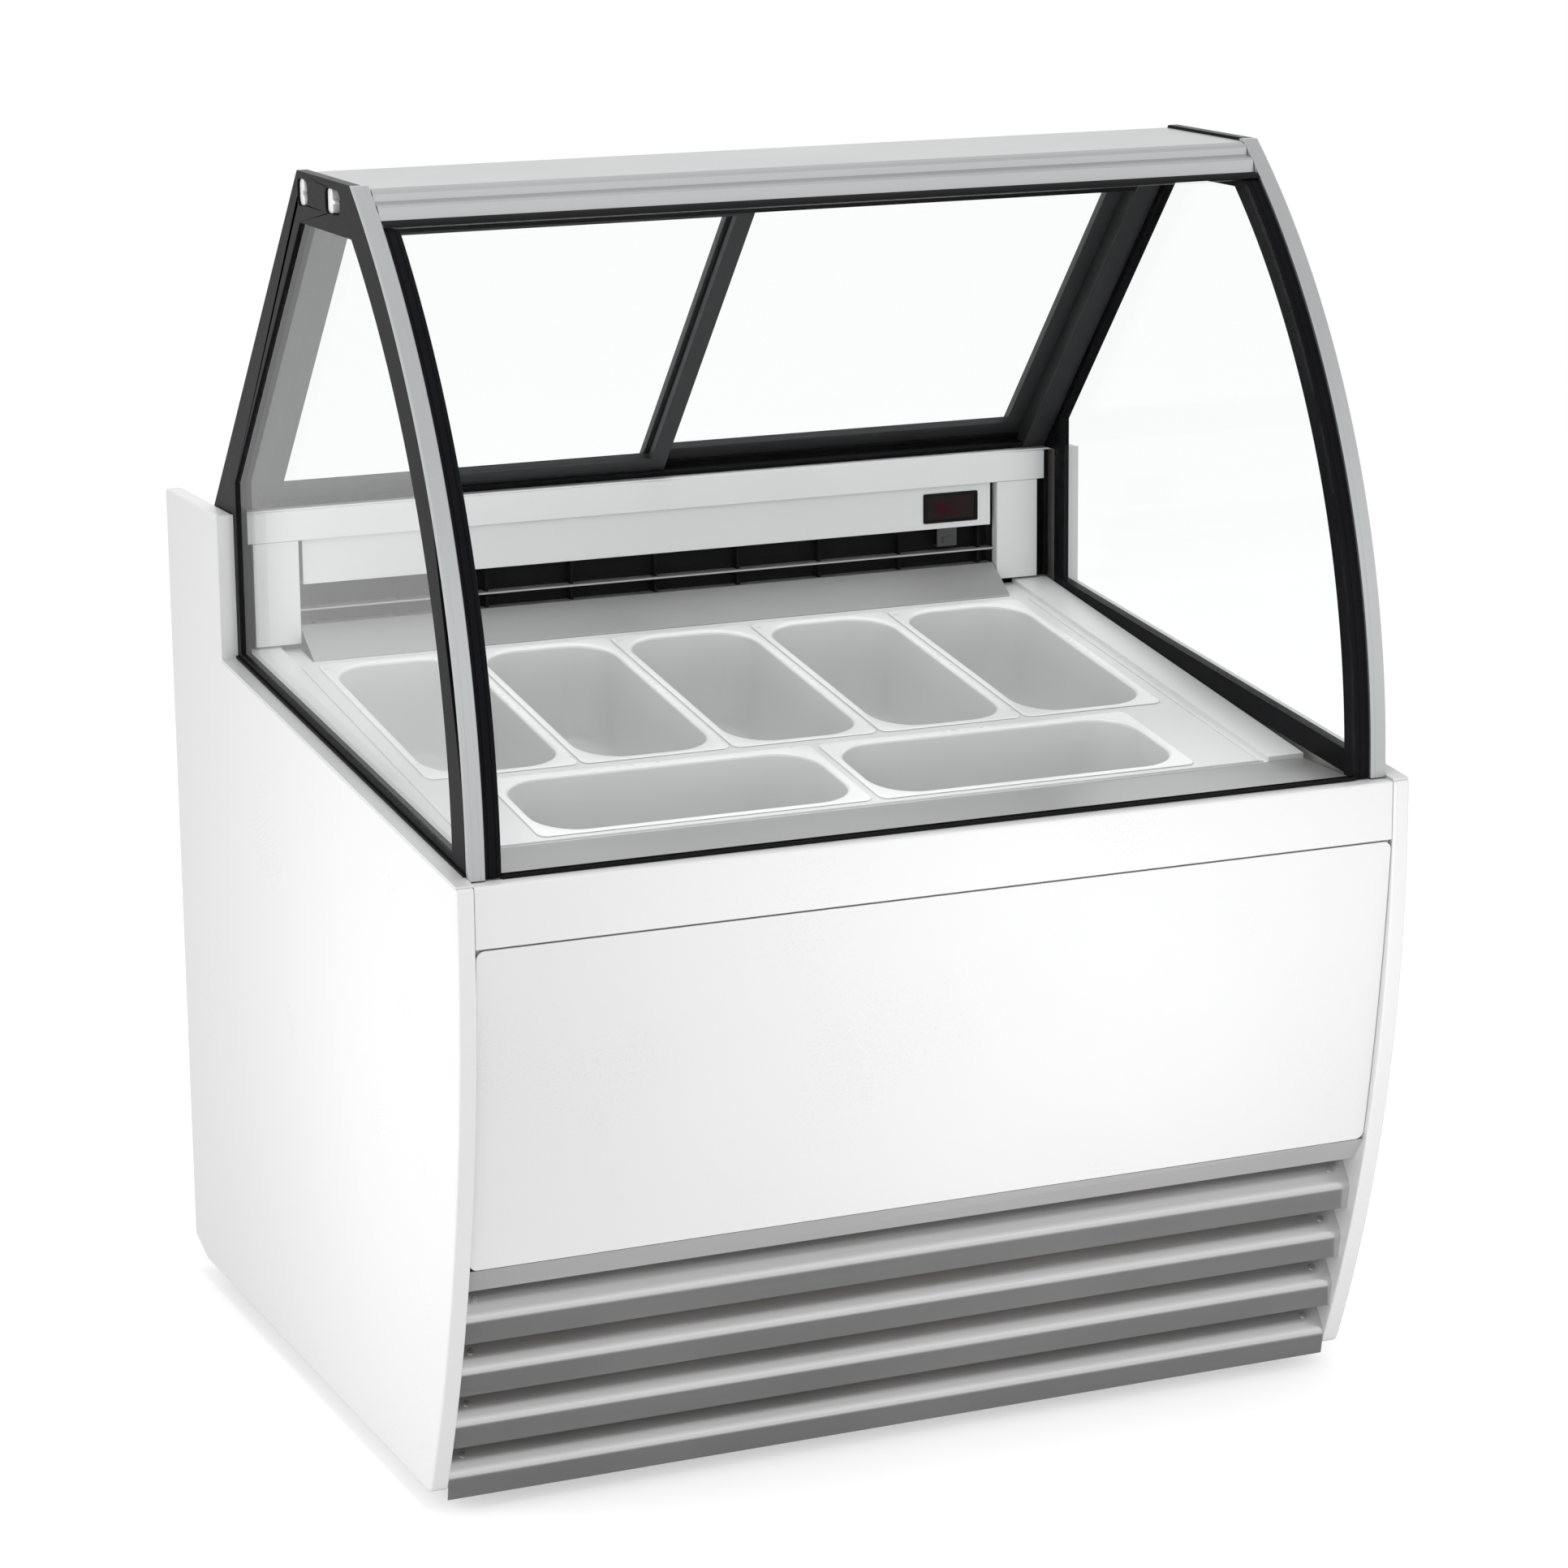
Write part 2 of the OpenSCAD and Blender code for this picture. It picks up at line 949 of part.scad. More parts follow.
module pan()
    color("silver")
    difference() {
        union() {
            translate([0, 0, -rim_t])
            linear_extrude(rim_t)
            rounded_rect(pan_w, pan_l, 10);
            translate([0, 0, -pan_depth])
            linear_extrude(pan_depth - 0.1)
            rounded_rect(pan_w - 2 * pan_body_inset, pan_l - 2 * pan_body_inset, pan_corner_r);
        }
        translate([0, 0, -pan_depth + pan_wall])
        linear_extrude(pan_depth)
        rounded_rect(
            pan_w - 2 * pan_body_inset - 2 * pan_wall,
            pan_l - 2 * pan_body_inset - 2 * pan_wall,
            pan_corner_r - pan_wall
        );
    }

module rear_pan(i) raised() on_deck() translate([i * pan_pitch, rear_row_y, 0]) pan();

module front_pan(s)
    raised()
    on_deck()
    translate([s * front_pan_x, front_row_y, 0])
    rotate([0, 0, 90])
    pan();

module rear_pan_1() rear_pan(-2);

module rear_pan_2() rear_pan(-1);

module rear_pan_3() rear_pan(0);

module rear_pan_4() rear_pan(1);

module rear_pan_5() rear_pan(2);

module front_pan_1() front_pan(-1);

module front_pan_2() front_pan(1);

// ---- refrigeration ----

compressor_at = [200, 180];
compressor_r = 68;
compressor_h = 120;

module compressor()
    color("black")
    raised()
    translate([compressor_at[0], compressor_at[1], floor_z])
    union() {
        for (x = [-80, 80], y = [-55, 55])
            translate([x, y, 0]) cylinder(r = 10, h = 12);
        translate([-95, -70, 12]) cube([190, 140, 3]);
        translate([0, 0, 14]) cylinder(r = compressor_r, h = compressor_h);
        translate([0, 0, 14 + compressor_h])
        intersection() {
            scale(0.5) sphere(r = 2 * compressor_r);
            cylinder(r = compressor_r, h = 45);
        }
        translate([-30, -compressor_r - 18, 50]) cube([60, 30, 60]);
    }

// A block of fins on straight tubes, with an end plate at each side
module finned_coil(size, fins, rows, tube_r) {
    for (i = [0 : fins - 1])
        translate([i * (size[0] - 1) / (fins - 1), 0, 0]) cube([1, size[1], size[2]]);
    for (r = [0 : rows - 1])
        translate([0, size[1] / 2, (r + 0.5) * size[2] / rows])
        rotate([0, 90, 0])
        cylinder(r = tube_r, h = size[0]);
}

coil_size = [310, 50, 215];
coil_at = [-330, -268, floor_z];

module condenser_coil()
    color("darkgray")
    raised()
    translate(coil_at)
    union() {
        finned_coil(coil_size, 32, 6, 5);
    }

evap_size = [600, 150, 78];
evap_at = [-300, 40, 416];

module evaporator_coil()
    color("silver")
    raised()
    translate(evap_at)
    union() {
        finned_coil(evap_size, 40, 3, 5);
    }

// An axial fan's plate, ring, motor and struts; the air moves along Y
module fan_housing(r, plate, motor_r, motor_l, gap) {
    difference() {
        union() {
            translate([-plate[0] / 2, 0, -plate[1] / 2]) cube([plate[0], 2, plate[1]]);
            along_y(0, 30, r + 6);
        }
        along_y(-1, 31, r + 3);
    }
    along_y(30 + gap, 30 + gap + motor_l, motor_r);
    along_y(6, 30 + gap + 1, shaft_r);
    for (a = [0, 90, 180, 270])
        rotate([0, a, 0])
        translate([-4, 29.5, 0])
        cube([8, gap + 6.5, r + 5]);
}

module fan_blade(r, hub_r, blades) {
    difference() {
        union() {
            along_y(8, 26, hub_r);
            for (i = [0 : blades - 1])
                rotate([0, i * 360 / blades, 0])
                translate([0, 17, hub_r - 2])
                rotate([0, 0, 32])
                translate([-r / 5, -1, 0])
                cube([r / 2.5, 2, r - hub_r - 2]);
        }
        along_y(0, 40, shaft_r + bore_gap);
    }
}

module at_condenser_fan() raised() translate([fan_x, fan_y, fan_z]) children();

module at_evaporator_fan() raised() translate([0, evap_fan_y, evap_fan_z]) mirror([0, 1, 0]) children();

module condenser_fan_housing()
    color("dimgray")
    at_condenser_fan()
    union() {
        fan_housing(fan_r, [300, 2 * (fan_z - floor_z)], 34, 45, 6);
    }

module condenser_fan_blade()
    color("black")
    at_condenser_fan()
    fan_blade(fan_r, 24, 5);

module evaporator_fan_housing()
    color("dimgray")
    at_evaporator_fan()
    union() {
        fan_housing(evap_fan_r, [400, 2 * (evap_fan_z - well_z - liner_t)], 20, 30, 6);
    }

module evaporator_fan_blade()
    color("black")
    at_evaporator_fan()
    fan_blade(evap_fan_r, 14, 5);

// A tube along straight runs, with a ball at each bend
module tube(points, r)
    for (i = [0 : len(points) - 2])
        let (a = points[i], b = points[i + 1], d = b - a, n = norm(d)) {
            translate(a)
            rotate([0, acos(d[2] / n), atan2(d[1], d[0])])
            cylinder(r = r, h = n);
            if (i > 0) translate(a) sphere(r = r);
        }

suction_run = [[268, 180, 150], [380, 180, 150], [380, 180, 455], [300, 180, 455]];
liquid_run = [[-20, -243, 82], [350, -243, 82], [350, 120, 82], [350, 120, 442], [300, 120, 442]];
discharge_run = [[200, 112, 170], [200, -243, 170], [-20, -243, 170]];

module refrigerant_pipes()
    color("chocolate")
    raised()
    union() {
        tube(suction_run, 6);
        tube(liquid_run, 4);
        tube(discharge_run, 4);
        translate([350, -150, 82]) along_y(0, 110, 13);
    }

tray_size = [300, 150, 34];

module condensate_tray()
    color("silver")
    raised()
    translate([-250, 230, floor_z])
    difference() {
        cube(tray_size);
        translate([2, 2, 2]) cube([tray_size[0] - 4, tray_size[1] - 4, tray_size[2]]);
    }

// ---- controls ----

module rocker(x)
    raised()
    translate([x, switch_y, switch_z])
    rotate([-rocker_tilt, 0, 0])
    intersection() {
        translate([-6.5, 0, 0]) rotate([0, 90, 0]) cylinder(r = switch_r, h = 13);
        translate([-10, -4, -20]) cube([20, 13.5, 40]);
    }

module power_switch() color("green") rocker(power_x);

module light_switch() color("black") rocker(light_x);

module defrost_button()
    color("black")
    raised()
    translate([button_x, 0, switch_z])
    along_y(456, 469.4, 7);

// ---- fasteners ----

screw_r = 3;
screw_h = 1.2;
screw_x = 476;

slat_screw = slat_axis + (slat_r - face_ease) * slat_up + 13 * slat_along;

module fasteners()
    color("silver")
    raised()
    union() {
        for (i = [0 : slat_count - 1])
            at_slat(i)
            both_ends()
            translate([screw_x, slat_screw[0], slat_screw[1]])
            rotate([-slat_tilt, 0, 0])
            along_y(-screw_h, 0, screw_r);
        for (x = [-470, -160, 160, 470], z = [service_foot + 8, service_top + 100, 372, 860])
            translate([x, 0, z])
            along_y(rear_sheet_y + sheet_t, rear_sheet_y + sheet_t + screw_h, 4);
    }

base_frame();
levelling_feet();
left_end_panel();
right_end_panel();
edge_trims();
front_fascia();
front_panel();
front_return_strip();
louvre_slats();
rear_service_grille();
control_panel();
rear_counter();
insulated_tub();
tub_liner();
deck_frame();
front_ledge();
return_grille();
rear_slope();
air_outlet();
display_panel();
display_window();
rear_fascia();
rear_columns();
header_beam();
lamp_diffuser();
left_end_frame();
right_end_frame();
left_side_glass();
right_side_glass();
corner_trims();
rear_posts();
door_tracks();
compressor();
condenser_coil();
condenser_fan_housing();
evaporator_coil();
evaporator_fan_housing();
refrigerant_pipes();
condensate_tray();
controller();
power_inlet();
fasteners();
front_glass();
front_glass_seals();
front_glass_gasket();
left_door_frame();
left_door_glass();
right_door_frame();
right_door_glass();
rear_pan_1();
rear_pan_2();
rear_pan_3();
rear_pan_4();
rear_pan_5();
front_pan_1();
front_pan_2();
condenser_fan_blade();
evaporator_fan_blade();
power_switch();
light_switch();
defrost_button();
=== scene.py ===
"""Looks for the ice cream dipping cabinet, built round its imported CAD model."""

import json
import math

import bmesh
import bpy
from mathutils import Matrix, Vector


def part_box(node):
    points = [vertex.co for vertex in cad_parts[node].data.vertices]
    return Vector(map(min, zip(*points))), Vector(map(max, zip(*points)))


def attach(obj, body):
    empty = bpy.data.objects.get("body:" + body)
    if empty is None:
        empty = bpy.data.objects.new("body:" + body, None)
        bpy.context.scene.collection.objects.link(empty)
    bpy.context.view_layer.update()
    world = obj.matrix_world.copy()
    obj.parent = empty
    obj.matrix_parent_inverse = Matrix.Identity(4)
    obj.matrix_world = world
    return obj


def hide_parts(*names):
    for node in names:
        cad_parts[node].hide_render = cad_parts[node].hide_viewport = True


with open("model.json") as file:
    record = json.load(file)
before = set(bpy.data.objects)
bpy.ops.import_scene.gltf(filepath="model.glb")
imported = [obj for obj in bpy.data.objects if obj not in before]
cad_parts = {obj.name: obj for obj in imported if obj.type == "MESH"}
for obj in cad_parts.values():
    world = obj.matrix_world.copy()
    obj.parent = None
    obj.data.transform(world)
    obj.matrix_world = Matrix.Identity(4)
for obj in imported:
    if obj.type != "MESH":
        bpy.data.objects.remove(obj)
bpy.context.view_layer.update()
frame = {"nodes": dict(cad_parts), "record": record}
nodes = frame["nodes"]
scene = bpy.context.scene

# Lengths are in mm. Sections are (y, z), with z counted from the skirt's underside.
MM = 0.001
PANEL_LOW = 4  # lower edge of the end panels
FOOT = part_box("left_end_panel")[0].z / MM - PANEL_LOW  # the skirt's underside over the floor
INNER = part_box("right_end_panel")[0].x / MM  # inner face of the end panels
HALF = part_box("right_end_panel")[1].x / MM  # outer face of the end panels
FRONT, BACK = -470, 470  # the end panels' front and rear edges
LEDGE = 650  # height of the skirt's top at the front
RISE_Y, RISE_Z = 276, 726  # where the end panels' sloping edge meets their raised rear part
RAISED_TOP = 884  # height of that rear part
EDGE_SLOPE = (RISE_Z - LEDGE) / (RISE_Y - FRONT)
DECK_REAR_Y, DECK_REAR_Z = 241, 720  # the sloping deck's rear edge
DECK_TILT = 8  # degrees
DECK = (Matrix.Translation((0, DECK_REAR_Y * MM, (DECK_REAR_Z + FOOT) * MM))
        @ Matrix.Rotation(math.radians(DECK_TILT), 4, "X"))
AXIS_Y, AXIS_Z = 372, 650  # the canopy's arc turns about this line
ARC_R = 820  # the arc's steps are even at this radius


# ---- materials ----


def finish(name, color, metallic=0.0, rough=0.4, spread=0.08, tint=0.04, grain=(300, 300, 300),
           bump=0.06, depth=0.0002, cloud=5.0, coat=0.0, scratch=None, specular=0.5, ior=1.5):
    """A surface with fine grain in its bump and roughness, and broad clouds in its colour."""
    m = bpy.data.materials.new(name)
    m.use_nodes = True
    t = m.node_tree
    b = t.nodes["Principled BSDF"]
    b.inputs["Metallic"].default_value = metallic
    b.inputs["Coat Weight"].default_value = coat
    b.inputs["Coat Roughness"].default_value = 0.08
    b.inputs["Specular IOR Level"].default_value = specular
    b.inputs["IOR"].default_value = ior
    place = t.nodes.new("ShaderNodeTexCoord")

    def noise(scale, detail):
        mapping = t.nodes.new("ShaderNodeMapping")
        mapping.inputs["Scale"].default_value = scale
        t.links.new(place.outputs["Object"], mapping.inputs["Vector"])
        n = t.nodes.new("ShaderNodeTexNoise")
        n.inputs["Scale"].default_value = 1.0
        n.inputs["Detail"].default_value = detail
        t.links.new(mapping.outputs["Vector"], n.inputs["Vector"])
        return n.outputs[0]

    def ranged(source, low, high):
        r = t.nodes.new("ShaderNodeMapRange")
        r.inputs["From Min"].default_value, r.inputs["From Max"].default_value = 0.3, 0.7
        r.inputs["To Min"].default_value, r.inputs["To Max"].default_value = low, high
        t.links.new(source, r.inputs["Value"])
        return r.outputs["Result"]

    fine = noise(grain, 3.0)
    broad = noise((cloud,) * 3, 2.0)
    both = t.nodes.new("ShaderNodeMath")
    both.operation = "MULTIPLY_ADD"
    both.inputs[1].default_value = 0.5
    t.links.new(fine, both.inputs[0])
    half = t.nodes.new("ShaderNodeMath")
    half.operation = "MULTIPLY"
    half.inputs[1].default_value = 0.5
    t.links.new(broad, half.inputs[0])
    t.links.new(half.outputs[0], both.inputs[2])
    mix = t.nodes.new("ShaderNodeMix")
    mix.data_type = "RGBA"
    mix.inputs["A"].default_value = (*[c * (1 - tint) for c in color], 1)
    mix.inputs["B"].default_value = (*[min(1, c * (1 + tint)) for c in color], 1)
    t.links.new(ranged(both.outputs[0], 0, 1), mix.inputs["Factor"])
    t.links.new(mix.outputs["Result"], b.inputs["Base Color"])
    t.links.new(ranged(both.outputs[0], max(0.02, rough - spread), rough + spread), b.inputs["Roughness"])
    height = fine
    if scratch:
        lines = noise(scratch, 2.0)
        add = t.nodes.new("ShaderNodeMath")
        add.operation = "ADD"
        t.links.new(fine, add.inputs[0])
        t.links.new(lines, add.inputs[1])
        height = add.outputs[0]
    raised = t.nodes.new("ShaderNodeBump")
    raised.inputs["Strength"].default_value = bump
    raised.inputs["Distance"].default_value = depth
    t.links.new(height, raised.inputs["Height"])
    t.links.new(raised.outputs["Normal"], b.inputs["Normal"])
    return m


def clear(name, color, low, power, high):
    """Glass that shows what is behind it, and gleams towards grazing angles."""
    m = bpy.data.materials.new(name)
    m.use_nodes = True
    t = m.node_tree
    t.nodes.clear()
    out = t.nodes.new("ShaderNodeOutputMaterial")
    mix = t.nodes.new("ShaderNodeMixShader")
    through = t.nodes.new("ShaderNodeBsdfTransparent")
    through.inputs["Color"].default_value = (*color, 1)
    gloss = t.nodes.new("ShaderNodeBsdfGlossy")
    gloss.inputs["Roughness"].default_value = 0.04
    gloss.inputs["Color"].default_value = (1, 1, 1, 1)
    facing = t.nodes.new("ShaderNodeLayerWeight")
    facing.inputs["Blend"].default_value = 0.5
    curve = t.nodes.new("ShaderNodeMath")
    curve.operation = "POWER"
    curve.inputs[1].default_value = power
    t.links.new(facing.outputs["Facing"], curve.inputs[0])
    amount = t.nodes.new("ShaderNodeMapRange")
    amount.inputs["To Min"].default_value, amount.inputs["To Max"].default_value = low, high
    t.links.new(curve.outputs[0], amount.inputs["Value"])
    t.links.new(amount.outputs["Result"], mix.inputs["Fac"])
    t.links.new(through.outputs[0], mix.inputs[1])
    t.links.new(gloss.outputs[0], mix.inputs[2])
    t.links.new(mix.outputs[0], out.inputs["Surface"])
    return m


def even(scale):
    """Grain of the same scale every way."""
    return (scale,) * 3


# One look for each material slot. A brushed metal's grain is long across the brushing.
LOOK = {
    "white_paint": finish("white_paint", (0.60, 0.60, 0.602), rough=0.34, tint=0.015, grain=even(700),
                          bump=0.05, coat=0.1),
    "front_paint": finish("front_paint", (0.595, 0.595, 0.597), rough=0.32, tint=0.015, grain=even(700),
                          bump=0.05, coat=0.1),
    "slat_metal": finish("slat_metal", (0.56, 0.56, 0.565), metallic=0.84, rough=0.22, spread=0.05,
                         grain=(5, 1500, 1500)),
    "trim_aluminium": finish("trim_aluminium", (0.49, 0.495, 0.50), metallic=0.8, rough=0.36, spread=0.06,
                             grain=(1400, 30, 30), bump=0.08),
    "dark_aluminium": finish("dark_aluminium", (0.06, 0.061, 0.063), metallic=0.6, rough=0.42, spread=0.07,
                             tint=0.08, grain=(900, 30, 30), bump=0.08, specular=0.15),
    "stainless": finish("stainless", (0.50, 0.50, 0.50), metallic=0.6, rough=0.4, spread=0.05, tint=0.02,
                        grain=(6, 1300, 1300), bump=0.05),
    "pan_steel": finish("pan_steel", (0.75, 0.75, 0.75), metallic=0.25, rough=0.36, spread=0.05, tint=0.015,
                        grain=(60, 60, 900), bump=0.04, scratch=(900, 12, 40)),
    "liner_grey": finish("liner_grey", (0.79, 0.79, 0.795), rough=0.36, spread=0.06, tint=0.02,
                         grain=even(600), bump=0.05, coat=0.1),
    "black_enamel": finish("black_enamel", (0.006, 0.006, 0.007), rough=0.3, spread=0.05, tint=0.2,
                           grain=even(200), bump=0.03, ior=1.1),
    "black_rubber": finish("black_rubber", (0.008, 0.008, 0.008), rough=0.6, spread=0.1, tint=0.2,
                           grain=even(500), bump=0.25, specular=0.1),
    "black_plastic": finish("black_plastic", (0.008, 0.008, 0.009), rough=0.45, tint=0.2, grain=even(900),
                            bump=0.15, specular=0.1),
    "clear_glass": clear("clear_glass", (0.99, 0.993, 0.992), low=0.0, power=6.0, high=0.6),
    "display_glass": finish("display_glass", (0.012, 0.004, 0.005), rough=0.12, spread=0.03, tint=0.2,
                            grain=even(100), bump=0.02, ior=1.25),
    "diffuser": finish("diffuser", (0.86, 0.86, 0.84), rough=0.45, spread=0.05, tint=0.02, bump=0.08),
    "foam": finish("foam", (0.72, 0.62, 0.36), rough=0.8, tint=0.08, grain=even(350), bump=0.4, depth=0.0006),
    "frame_steel": finish("frame_steel", (0.30, 0.31, 0.32), metallic=0.6, rough=0.5, spread=0.1, tint=0.12,
                          grain=even(60), bump=0.15, cloud=30),
    "black_steel": finish("black_steel", (0.02, 0.02, 0.022), metallic=0.2, rough=0.45, tint=0.2,
                          grain=even(400), bump=0.15),
    "fin_metal": finish("fin_metal", (0.62, 0.63, 0.64), metallic=1.0, spread=0.1, tint=0.08,
                        grain=(60, 400, 400), bump=0.2),
    "copper": finish("copper", (0.62, 0.27, 0.15), metallic=1.0, rough=0.32, spread=0.1, tint=0.15,
                     grain=even(90), bump=0.1, cloud=25),
    "green_plastic": finish("green_plastic", (0.01, 0.22, 0.04), rough=0.25, spread=0.05, tint=0.1,
                            bump=0.05, coat=0.3),
    "screw_steel": finish("screw_steel", (0.6, 0.6, 0.6), metallic=1.0, rough=0.3, tint=0.06,
                          grain=even(800), bump=0.1),
}

# Looks of single pieces that differ from the rest of their slot.
DIM_RED = finish("dim_red", (0.035, 0.003, 0.007), rough=0.35, spread=0.05, tint=0.15, grain=even(400),
                 bump=0.05, ior=1.2)
BRACKET = finish("bracket_grey", (0.05, 0.05, 0.052), rough=0.45, spread=0.05, tint=0.1, grain=even(500),
                 bump=0.1)
# Painted highlight: the pan's rim is the same steel as its body, given a near-white, less metallic colour for
# the brightness an upturned rim takes from above.
PAN_RIM_PAINTED_HIGHLIGHT = finish("pan_rim", (0.96, 0.96, 0.96), metallic=0.1, rough=0.3, spread=0.05, tint=0.015,
                 grain=(60, 60, 900), bump=0.03)
STRIP = finish("return_strip", (0.40, 0.40, 0.405), metallic=0.25, spread=0.05, tint=0.03,
               grain=(5, 1500, 1500), bump=0.05)
RAIL = finish("edge_rail", (0.62, 0.62, 0.625), metallic=0.3, spread=0.06, tint=0.03, grain=(30, 1400, 30))
VANE = finish("vane_black", (0.012, 0.012, 0.012), rough=0.7, spread=0.05, tint=0.2, bump=0.1, specular=0.02)
HAZY = clear("side_glass", (0.985, 0.99, 0.988), low=0.01, power=3.0, high=0.42)
KEY_GREY = finish("key_grey", (0.35, 0.36, 0.37), rough=0.45, spread=0.05, tint=0.05, grain=even(500),
                  bump=0.1)
OWN_LOOK = {"left_side_glass": HAZY, "edge_trims": RAIL, "front_return_strip": STRIP, "air_outlet": VANE}

slot_of = {s["node"]: s["material_slot"] for s in frame["record"]["subparts"]}
for node, o in nodes.items():
    o.data.materials.clear()
    o.data.materials.append(OWN_LOOK.get(node, LOOK[slot_of[node]]))

# ---- mesh helpers ----


def round_edges(o, width, segments, angle):
    edge = o.modifiers.new("edges", "BEVEL")
    edge.width, edge.segments, edge.limit_method = width * MM, segments, "ANGLE"
    edge.angle_limit, edge.harden_normals = math.radians(angle), True


def put(name, bm, slot, body="cabinet", stands=(), bevel=0.0, segments=2, angle=35, thick=0.0,
        matrix=None, look=None):
    """Makes a piece from a bmesh. It rides a body and may take the place of CAD nodes."""
    mesh = bpy.data.meshes.new(name)
    bmesh.ops.remove_doubles(bm, verts=bm.verts, dist=1e-6)
    bmesh.ops.recalc_face_normals(bm, faces=bm.faces)
    bm.to_mesh(mesh)
    bm.free()
    mesh.shade_smooth()
    if not bevel:
        mesh.set_sharp_from_angle(angle=math.radians(angle))
    mesh.materials.append(look or LOOK[slot])
    o = bpy.data.objects.new(name, mesh)
    scene.collection.objects.link(o)
    if matrix is not None:
        o.matrix_world = matrix
    if thick:
        solid = o.modifiers.new("thickness", "SOLIDIFY")
        solid.thickness, solid.offset = thick * MM, -1
    if bevel:
        round_edges(o, bevel, segments, angle)
    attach(o, body)
    if stands:
        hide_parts(*stands)
    return o


def soften(node, width):
    """Rounds the edges of a CAD node's sheet metal or moulding."""
    weld = nodes[node].modifiers.new("weld", "WELD")
    weld.merge_threshold = 1e-5
    round_edges(nodes[node], width, 3 if width > 0.8 else 2, 38)


def turn_forward(o, face):
    """Turns a sheet's outside to the front, judged by one of its faces."""
    if o.data.polygons[face].normal.y > 0.1:
        o.data.flip_normals()


def point(x, y, z):
    """A place on the cabinet, with z counted from the skirt's underside."""
    return (x * MM, y * MM, (z + FOOT) * MM)


def plain(x, y, z):
    return (x * MM, y * MM, z * MM)


def deck_point(x, y, z):
    """A place on the sloping deck."""
    return tuple(DECK @ Vector(plain(x, y, z)))


def key_point(y, x, z):
    """Lets prism() run along y, for a section of (x, z)."""
    return point(x, y, z)


def fillet(outline, radii, steps=6):
    """Rounds corners of a closed outline; radii is {index: radius}."""
    made = []
    for i, p in enumerate(outline):
        r = radii.get(i, 0)
        if not r:
            made.append(tuple(p))
            continue
        p, a, c = Vector(p), Vector(outline[i - 1]), Vector(outline[(i + 1) % len(outline)])
        u, v = (a - p).normalized(), (c - p).normalized()
        half = math.acos(max(-1, min(1, u.dot(v)))) / 2
        reach = r / math.tan(half)
        centre = p + (u + v).normalized() * (r / math.sin(half))
        start, end = p + u * reach - centre, p + v * reach - centre
        sweep = math.atan2(start.x * end.y - start.y * end.x, start.dot(end))
        for k in range(steps + 1):
            w = sweep * k / steps
            made.append((centre.x + start.x * math.cos(w) - start.y * math.sin(w),
                         centre.y + start.x * math.sin(w) + start.y * math.cos(w)))
    return made


def rectangle(a0, a1, b0, b1, radius, steps):
    """A rectangle's outline with round corners."""
    corners = [(a0, b0), (a1, b0), (a1, b1), (a0, b1)]
    return fillet(corners, {i: radius for i in range(4)}, steps)


def prism(outline, x0, x1, bm=None, place=point):
    """A section of (y, z) drawn out from x0 to x1."""
    bm = bm or bmesh.new()
    a = [bm.verts.new(place(x0, y, z)) for y, z in outline]
    b = [bm.verts.new(place(x1, y, z)) for y, z in outline]
    bm.faces.new(a)
    bm.faces.new(list(reversed(b)))
    for i in range(len(a)):
        j = (i + 1) % len(a)
        bm.faces.new((a[j], a[i], b[i], b[j]))
    return bm


def block(bm, x0, x1, y0, y1, z0, z1, place=point):
    return prism([(y0, z0), (y1, z0), (y1, z1), (y0, z1)], x0, x1, bm, place)


def loft(bm, rows, wrap=True):
    """Faces between neighbouring rows of vertices. With wrap, each row closes on itself."""
    n = len(rows[0])
    for a, b in zip(rows, rows[1:]):
        for i in range(n if wrap else n - 1):
            j = (i + 1) % n
            bm.faces.new((a[i], a[j], b[j], b[i]))


def arc_sweep(section, z0, z1, steps=40):
    """Sweeps a closed section of (x, radius) up the canopy's arc."""
    bm = bmesh.new()
    a0 = math.asin((z0 - AXIS_Z) / ARC_R)
    a1 = math.asin((z1 - AXIS_Z) / ARC_R)
    rows = []
    for k in range(steps + 1):
        z = AXIS_Z + ARC_R * math.sin(a0 + (a1 - a0) * k / steps)
        rows.append([bm.verts.new(point(x, AXIS_Y - math.sqrt(r * r - (z - AXIS_Z) ** 2), z))
                     for x, r in section])
    loft(bm, rows)
    bm.faces.new(list(reversed(rows[0])))
    bm.faces.new(rows[-1])
    return bm


def ring(half_x, half_y, r, z, n=9):
    """Points of a rounded rectangle round the origin, at height z."""
    out = []
    for sx, sy, start in ((1, 1, 0), (-1, 1, 90), (-1, -1, 180), (1, -1, 270)):
        for k in range(n + 1):
            a = math.radians(start + 90 * k / n)
            out.append((sx * (half_x - r) + r * math.cos(a), sy * (half_y - r) + r * math.sin(a), z))
    return out


def mirrored(make):
    """Both ends of the cabinet from one function of the side, -1 or 1."""
    for side, word in ((-1, "left"), (1, "right")):
        make(side, word)


# ---- CAD nodes that keep their shape, with softened edges ----

EDGE_WIDTHS = {
    "front_return_strip": 0.3, "edge_trims": 0.5, "front_glass_gasket": 0.6, "left_end_frame": 0.9,
    "right_end_frame": 0.9, "header_beam": 0.9, "rear_posts": 0.8, "door_tracks": 0.5,
    "left_door_frame": 0.7, "right_door_frame": 0.7, "deck_frame": 0.4, "front_ledge": 0.4,
    "rear_fascia": 0.6, "display_panel": 0.5, "rear_columns": 0.9, "rear_slope": 0.4, "air_outlet": 0.3,
    "rear_counter": 0.5, "control_panel": 0.5, "rear_service_grille": 0.3, "lamp_diffuser": 1.2,
}
for node, width in EDGE_WIDTHS.items():
    soften(node, width)

# ---- skirt ----

PANEL_R, PANEL_BEND = 1490, 600  # radius of the end panels' front edge, and the height where it starts
PAINT_THICK = 2  # the painted sheets
FACE_Y = -468  # the fascia's front face
RETURN_Y = -448.3  # the fascia's top reaches this far back at its full width
LIP_Y = -438  # the lip's rear face


